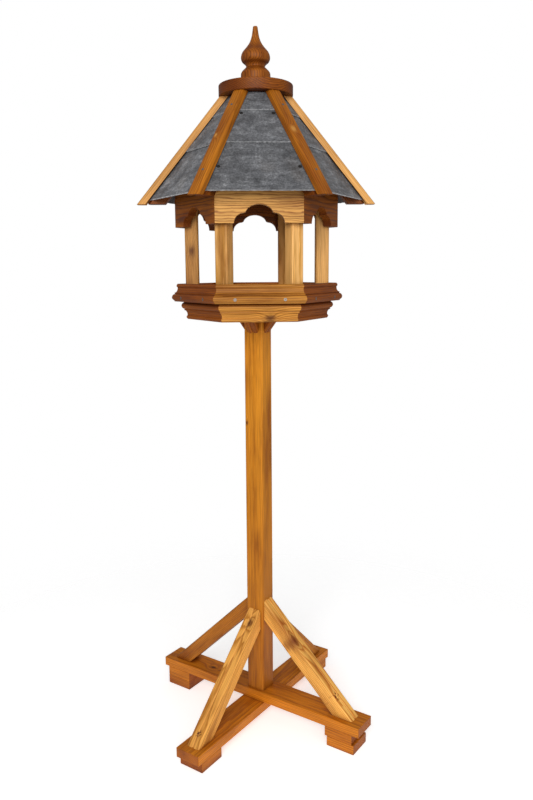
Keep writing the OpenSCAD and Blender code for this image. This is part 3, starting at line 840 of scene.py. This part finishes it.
post_tones = {4: -0.5, 5: -0.15, 6: -0.05, 1: -0.1}
for k in range(1, 7):
    low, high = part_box(f"post_{k}")
    bm = post(high.z - low.z, frieze_low - low.z)
    ease(bm, 0.6 * MM, segments=1, angle=60)
    corner = turned(SIXTH_TURN * (k - 1))
    place = corner @ setting((0, 0, low.z), (0, 0, 1), (1, 0, 0))
    turn = corner.to_3x3()
    knot = None
    if k == 4:
        knot = (turn @ Vector((POST_R, POST_W / 2, low.z + 103 * MM)), turn @ Vector((0, 1, 0)),
                1.3)
    fit(f"post_{k}", bm, place, light_pine, "light_pine", [f"post_{k}"],
        tone=post_tones.get(k, -0.3), knot=knot)


# %% Frieze boards
def arch():
    """Outline of the arch, from its right foot over to its left, as (x, z) pairs."""
    wide, foot, crown, crown_z, crown_h = 111 * MM, 22 * MM, 30 * MM, 20 * MM, 20.5 * MM
    shoulder = wide / 2 - foot
    points = arc((shoulder, 0), foot, 0, 90, 8)
    points += arc((0, crown_z), crown, 12, 168, 18, squash=crown_h / crown)
    points += arc((-shoulder, 0), foot, 90, 180, 8)
    return points


def frieze_board(height):
    """An arched board standing on X, outer face towards -Y, mitred at both ends."""
    half = frieze_out * math.tan(MITRE)
    outline = [(-half, 0), (-half, height), (half, height), (half, 0)] + arch()
    bm = bmesh.new()
    face = bm.faces.new([bm.verts.new((x, -frieze_out, z)) for x, z in outline])
    push(bm, [face], (0, frieze_t, 0))
    bmesh.ops.recalc_face_normals(bm, faces=bm.faces)
    mitre(bm)
    ease(bm, 0.8 * MM, segments=2, angle=50)
    return bm


for k in range(1, 7):
    low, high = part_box(f"frieze_board_{k}")
    bm = frieze_board(high.z - low.z)
    place = to_side(k) @ Matrix.Translation((0, 0, low.z))
    front = k == 5
    fit(f"frieze_board_{k}", bm, place, tan_pine if front else dark_pine, "dark_pine",
        [f"frieze_board_{k}"], tone={5: 0.0, 4: 0.1}.get(k, -0.1),
        heart=(-frieze_out + 0.11, -0.09) if front else None)

# %% [markdown]
# ## Roof frame
# A rafter stands under each hip, its top planed to the two slopes, its foot cut
# level. It butts on a six-sided hub under the cap. The rails over the hips are
# rounded on top and hollowed underneath to sit over the slates' edges.


# %% Hub and rafters
def hip_setting(k):
    """Place of a piece on hip k: X runs up the hip from the eaves, Z stands off it."""
    slope = (-math.cos(HIP_SLOPE), 0, math.sin(HIP_SLOPE))
    off = (math.sin(HIP_SLOPE), 0, math.cos(HIP_SLOPE))
    return turned(SIXTH_TURN * (k - 1)) @ setting((EAVE_R, 0, eave_z), slope, off)


def lay_on_hip(section, length, place, foot):
    """A length up a hip, with 60 mm to spare below, sawn level at its foot and under the cap."""
    bm = length_of(section, length)
    bmesh.ops.translate(bm, vec=(-60 * MM, 0, 0), verts=bm.verts)
    saw_in_place(bm, place, (0, 0, foot), (0, 0, -1))
    saw_in_place(bm, place, (0, 0, cap_low), (0, 0, 1))
    return bm


hub_low, hub_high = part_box("roof_hub")
hub_flat = hub_high.x
bm = hexagon_board(hub_flat, hub_high.z - hub_low.z)
ease(bm, 1 * MM)
fit("roof_hub", bm, turned(MITRE) @ Matrix.Translation((0, 0, hub_low.z)), dark_pine,
    "dark_pine", ["roof_hub"], tone=-0.3)
rafter_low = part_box("hip_rafters")[0].z
RAFTER_HALF, RAFTER_T = 14 * MM, 34 * MM
for k in range(1, 7):
    fall = RAFTER_HALF * HIP_FALL
    section = [(-RAFTER_HALF, -RAFTER_T), (RAFTER_HALF, -RAFTER_T), (RAFTER_HALF, -fall),
               (0, 0), (-RAFTER_HALF, -fall)]
    place = hip_setting(k)
    bm = lay_on_hip(section, 400 * MM, place, rafter_low)
    out = turned(SIXTH_TURN * (k - 1)).to_3x3() @ Vector((1, 0, 0))
    saw_in_place(bm, place, out * (EAVE_R + 3 * MM), out)
    saw_in_place(bm, place, out * hub_flat, -out)
    ease(bm, 0.7 * MM, segments=1, angle=50)
    # The rafters take the dark finish with a deeper tone: painted shade where their feet show under
    # the slates
    fit(f"hip_rafter_{k}", bm, place, dark_pine, "dark_pine", ["hip_rafters"], tone=-0.3)


# %% Rails over the hips
def rail_section(low, high, half):
    """Rounded on top; its underside follows the two slopes of the roof."""
    radius = 7 * MM
    seat = low + half * HIP_FALL
    left_round = arc((-half + radius, high - radius), radius, 180, 90, 6)
    right_round = arc((half - radius, high - radius), radius, 90, 0, 6)
    return [(half, low), (0, seat), (-half, low)] + left_round + right_round


RAIL_HALF = 15 * MM
# The rails ride over the slates' edges, which are two and a quarter slates thick
rail_seat = 2.25 * SLATE_T / math.cos(math.atan(HIP_FALL)) - RAIL_HALF * HIP_FALL
rail_top = rail_seat + 16.3 * MM
# Finish and tone of the rails that differ, and how far up a rail has a pale scar, by hip
rail_finish = {4: (pale_pine, -0.1), 1: (pale_pine, 0.2), 6: (rail_pine, -0.05)}
rail_scars = {6: 165 * MM, 5: 147 * MM}
for k in range(1, 7):
    place = hip_setting(k)
    bm = lay_on_hip(rail_section(rail_seat, rail_top, RAIL_HALF), 420 * MM, place, rail_low)
    ease(bm, 0.7 * MM, segments=1, angle=60)
    scar = None
    if k in rail_scars:
        off = place.to_3x3() @ Vector((0, 0, 1))
        spot = place @ Vector((rail_scars[k], 6 * MM, rail_top))
        scar = (spot, off, 0.8 if k == 6 else 0.5)
    finish, tone = rail_finish.get(k, (rail_pine, 0.0))
    fit(f"hip_rail_{k}", bm, place, finish, "rail_pine", [f"hip_rail_{k}"], tone=tone, knot=scar)

# %% [markdown]
# ## Slates
# Each face has three courses, lapped like tiles. A slate starts as a fine grid, is
# drawn in to the shape of its face, and is given its thickness by pushing a copy
# down. Both faces then get the low steps and ripples of split stone, and the edges
# are nibbled, because slate is cut by chopping. Near each side is a round nick, which
# shows dark.


# %% Slate making
SLATE_GAP = 4 * MM
NICK_R = 4.5 * MM
NICK_IN = 18 * MM
# Where the first course ends, where the second begins and where the third begins
LAP_END, LAP_2, LAP_3 = 152.5 * MM, 130.5 * MM, 226 * MM


def face_half(s):
    """Half the width of a roof face at a distance up its slope."""
    flat = EAVE_R * math.cos(MITRE) - s * math.cos(FACE_SLOPE)
    return flat * math.tan(MITRE)


def slate_plate(low, high, nick_at, seed):
    """A split slate in the plane of its face: X across, Y up the slope, Z outwards."""
    rows = max(8, int((high - low) / (3.2 * MM)))
    bm = bmesh.new()
    bmesh.ops.create_grid(bm, x_segments=64, y_segments=rows, size=0.5)
    rim = bm.verts.layers.float.new("rim")
    for v in bm.verts:
        rise = v.co.y + 0.5
        # The second row lies close to the first, so the chopped rim is a narrow line
        if rise < 1.5 / rows:
            rise = 0 if rise < 0.5 / rows else 1.3 * MM / (high - low)
        s = low + rise * (high - low)
        if rise == 0:
            v[rim] = 0.9 * max(0.0, 0.75 + noise.noise(Vector((v.co.x * 30, seed, 1))))
        half = face_half(s) - SLATE_GAP
        nibble = 0.9 * MM * noise.noise(Vector((s * 160, seed, 5 if v.co.x > 0 else 9)))
        edge = abs(v.co.x) * 2
        x = v.co.x * 2 * half - math.copysign(edge ** 8 * (0.6 * MM + nibble), v.co.x)
        if v.co.y < -0.49:
            s += 0.7 * MM + 0.9 * MM * noise.noise(Vector((x * 130, seed, 2)))
        v.co = Vector((x, s, 0))
    if nick_at:
        for side in (-1, 1):
            centre = Vector((side * (face_half(nick_at) - NICK_IN), nick_at, 0))
            inside = [f for f in bm.faces if (f.calc_center_median() - centre).length < 4.2 * MM]
            bmesh.ops.delete(bm, geom=inside, context="FACES")
            # The ragged hole is made round
            for v in bm.verts:
                if v.is_boundary and (v.co - centre).length < 8 * MM and v.link_faces:
                    v.co = centre + (v.co - centre).normalized() * NICK_R
    raised = set(push(bm, bm.faces[:], (0, 0, SLATE_T)))
    bmesh.ops.recalc_face_normals(bm, faces=bm.faces)
    # Ripples are about 45 mm across and 30 mm up the slope; the steps are a little longer
    for v in bm.verts:
        spot = Vector((v.co.x * 22, v.co.y * 34, seed * 3.7))
        ripple = noise.fractal(spot, 1.0, 2.0, 4)
        step = math.floor(noise.noise(spot * 0.8) * 4) * 0.12
        if v in raised:
            v.co.z -= min(0.9, max(0.0, 0.30 + 0.30 * ripple + step)) * MM
        else:
            v.co.z += min(0.5, max(0.0, 0.2 + 0.2 * ripple)) * MM
    # A dark disc, a little below the face, fills each nick: painted shade where one looks into the
    # hole
    shade = bm.verts.layers.float.new("shade")
    for side in (-1, 1) if nick_at else ():
        spot = Matrix.Translation((side * (face_half(nick_at) - NICK_IN), nick_at, 0.7 * MM))
        shade_disc = bmesh.ops.create_cone(bm, cap_ends=True, segments=20, radius1=5.2 * MM,
                                     radius2=5.2 * MM, depth=0.8 * MM, matrix=spot)
        for v in shade_disc["verts"]:
            v[shade] = 1.0
    return bm


# %% Three courses on six faces
# Name, lower edge, upper edge, height of the nicks, and the lift at the first lap. A
# lifted course leans on the one below it
courses = [
    ("slates_lower", 0.0, LAP_END, 65 * MM, None),
    ("slates_middle", LAP_2, 248 * MM, 219 * MM, SLATE_T),
    ("slates_top", LAP_3, 282 * MM, None, 2 * SLATE_T),
]
tilt = math.atan(SLATE_T / (LAP_3 - LAP_2))
off = (math.sin(FACE_SLOPE), 0, math.cos(FACE_SLOPE))
on_face = setting((EAVE_R * math.cos(MITRE), 0, eave_z), (0, 1, 0), off)
# How pale each face is drawn: 5 is at the front, and 4 and 6 beside it are paler, which is painted
# light on the faces that turn to the side
face_light_tones = {5: -0.12, 4: 0.42, 6: 0.3}
for node, low, high, nick_at, lift in courses:
    lean = Matrix.Identity(4)
    if lift:
        lean = (Matrix.Translation((0, LAP_END, lift)) @ Matrix.Rotation(-tilt, 4, "X")
                @ Matrix.Translation((0, -LAP_END, 0)))
    for k in range(1, 7):
        bm = slate_plate(low, high, nick_at, seed=k * 11 + len(node))
        place = turned(SIXTH_TURN * k - MITRE) @ on_face @ lean
        fit(f"{node}_{k}", bm, place, slate, "slate", [node],
            tone=face_light_tones.get(k, 0.1) + luck.uniform(-0.1, 0.1))
print("slates:", 6 * len(courses))

# %% [markdown]
# ## Cap and finial
# The cap is a disc sawn from a board, so its edge shows end grain on two sides. The
# finial is turned on a lathe: half its outline is spun round the axis.

# %% Cap disc
bm = bmesh.new()
bmesh.ops.create_cone(bm, cap_ends=True, segments=96, radius1=cap_r, radius2=cap_r,
                      depth=cap_high - cap_low)
ease(bm, 2.4 * MM, segments=3)
fit("cap_disc", bm, turned(math.radians(25)) @ Matrix.Translation((0, 0, (cap_low + cap_high) / 2)),
    dark_pine, "dark_pine", ["cap_disc"], tone=-0.1, heart=(0.01, -0.07))


# %% Finial
def flowing(points, steps):
    """A smooth curve through the points, leaving out the first and last."""
    curve = []
    for a, b, c, d in zip(points, points[1:], points[2:], points[3:]):
        for i in range(steps):
            t = i / steps
            curve.append(0.5 * (2 * b + (c - a) * t + (2 * a - 5 * b + 4 * c - d) * t ** 2
                                + (3 * b - a - 3 * c + d) * t ** 3))
    return curve


# Radius and height of the turning, in millimetres
turning = [(34, -10), (34.4, 0), (34.4, 22), (32.6, 29), (27, 35), (21.9, 40.5), (24.4, 46),
           (31.5, 52.5), (33.8, 61), (30.5, 72), (21.2, 83), (13.8, 93.5), (9.4, 104.5),
           (7.2, 115), (5.4, 127.5), (4.6, 137)]
outline = flowing([Vector((x, 0, z)) * MM for x, z in turning], 6)
outline = [Vector((0, 0, 0))] + outline
outline += [Vector((5.4, 0, 127.5)) * MM, Vector((4.4, 0, 129)) * MM, Vector((0, 0, 129)) * MM]
bm = bmesh.new()
verts = [bm.verts.new(p) for p in outline]
edges = [bm.edges.new(pair) for pair in zip(verts, verts[1:])]
bmesh.ops.spin(bm, geom=verts + edges, cent=(0, 0, 0), axis=(0, 0, 1), angle=math.radians(360),
               steps=72, use_merge=True)
bmesh.ops.remove_doubles(bm, verts=bm.verts, dist=1e-5)
bmesh.ops.recalc_face_normals(bm, faces=bm.faces)
print("finial outline", len(outline), "points,", len(bm.faces), "faces")
# The lathe turns it with the grain upright, so it is laid along X to be marked
bmesh.ops.rotate(bm, matrix=Matrix.Rotation(QUARTER_TURN, 3, "Y"), verts=bm.verts)
fit("finial", bm, setting((0, 0, cap_high), (0, 0, 1), (-1, 0, 0)), dark_pine, "dark_pine",
    ["finial"], tone=0.25, heart=(0.006, -0.03))

# %% [markdown]
# ## Screws and nails
# The screws are countersunk, with a cross recess. The head is a disc that is
# sliced into a plus, and the plus is pushed down. The hidden screws keep their CAD
# shape and only get their metal.


# %% Screw heads
def screw_head(radius, shank, length, cross):
    """A countersunk screw pointing down, its head level with z = 0."""
    bm = bmesh.new()
    bmesh.ops.create_cone(bm, cap_ends=True, segments=24, radius1=shank, radius2=radius,
                          depth=radius - shank)
    bmesh.ops.translate(bm, vec=(0, 0, -(radius - shank) / 2), verts=bm.verts)
    bottom = min(bm.faces, key=lambda f: f.calc_center_median().z)
    push(bm, [bottom], (0, 0, -length))
    bmesh.ops.delete(bm, geom=[bottom], context="FACES_ONLY")
    top = max(bm.faces, key=lambda f: f.calc_center_median().z)
    bmesh.ops.inset_region(bm, faces=[top], thickness=0.35 * radius, use_even_offset=True)
    if cross:
        half = 0.16 * radius
        for axis in (0, 1):
            for side in (-1, 1):
                top = [f for f in bm.faces if f.calc_center_median().z > -1e-6
                       and f.calc_center_median().to_2d().length < 0.6 * radius]
                edges = list({e for f in top for e in f.edges})
                verts = list({v for f in top for v in f.verts})
                normal = Vector((0, 0, 0))
                normal[axis] = side
                point = normal * half
                bmesh.ops.bisect_plane(bm, geom=verts + edges + top, plane_co=point,
                                       plane_no=normal, dist=1e-7)
        plus = [f for f in bm.faces if f.calc_center_median().z > -1e-6
                and f.calc_center_median().to_2d().length < 0.6 * radius
                and min(abs(f.calc_center_median().x), abs(f.calc_center_median().y)) < half]
        push(bm, plus, (0, 0, -0.45 * radius))
        bmesh.ops.delete(bm, geom=[f for f in plus if f.is_valid], context="FACES_ONLY")
    bmesh.ops.recalc_face_normals(bm, faces=bm.faces)
    return bm


def fit_screws(name, places, radius, shank, length, cross):
    """One piece holding a copy of the screw at each place."""
    group = bmesh.new()
    for place in places:
        bm = screw_head(radius, shank, length, cross)
        spin = Matrix.Rotation(luck.uniform(0, math.pi), 4, "Z")
        bmesh.ops.transform(bm, matrix=place @ spin, verts=bm.verts)
        mesh = bpy.data.meshes.new("one_screw")
        bm.to_mesh(mesh)
        bm.free()
        group.from_mesh(mesh)
        bpy.data.meshes.remove(mesh)
    fit(name, group, Matrix.Identity(4), zinc, "zinc_plated_steel", [name])
    print(name, len(places))


def pointing(origin, into):
    """A place for a screw: its head at the origin, its point going into the wood."""
    side = (0, 0, 1) if abs(Vector(into).normalized().z) < 0.9 else (1, 0, 0)
    z = -Vector(into).normalized()
    x = Vector(side).cross(z).normalized()
    return Matrix.Translation(origin) @ Matrix((x, z.cross(x), z)).transposed().to_4x4()


# %% Screws of the braces
brace_l = math.hypot(BRACE_OUT, BRACE_UP)
brace_places = []
for quarter in range(4):
    for along in (28 * MM, brace_l - 28 * MM):
        spot, off = on_crest(quarter, foot_levels[quarter], along, 0, 2.0 * MM)
        brace_places.append(pointing(spot, -off))
fit_screws("brace_screws", brace_places, 3.6 * MM, 2 * MM, 40 * MM, cross=True)

# %% Screws of the moulding and nails of the rails
screw_row = (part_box("moulding_screws")[0].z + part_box("moulding_screws")[1].z) / 2
moulding_places = []
nail_places = []
for k in range(1, 7):
    side_turn = turned(SIXTH_TURN * k - MITRE)
    for spread in (-55.5 * MM, 55.5 * MM):
        spot = (floor_flat + moulding_t + 0.1 * MM, spread, screw_row)
        moulding_places.append(side_turn @ pointing(spot, (-1, 0, 0)))
    for along in (45 * MM, 242 * MM):
        nail_places.append(hip_setting(k) @ pointing((along, 0, rail_top + 0.1 * MM), (0, 0, -1)))
fit_screws("moulding_screws", moulding_places, 3.4 * MM, 1.75 * MM, 36 * MM, cross=True)
fit_screws("rail_nails", nail_places, 2.8 * MM, 1.5 * MM, 36 * MM, cross=False)

# %% Materials on the hidden CAD nodes
for node in ("foot_screws", "pole_screws", "post_screws"):
    cad = frame["nodes"][node]
    cad.data.materials.clear()
    cad.data.materials.append(zinc)
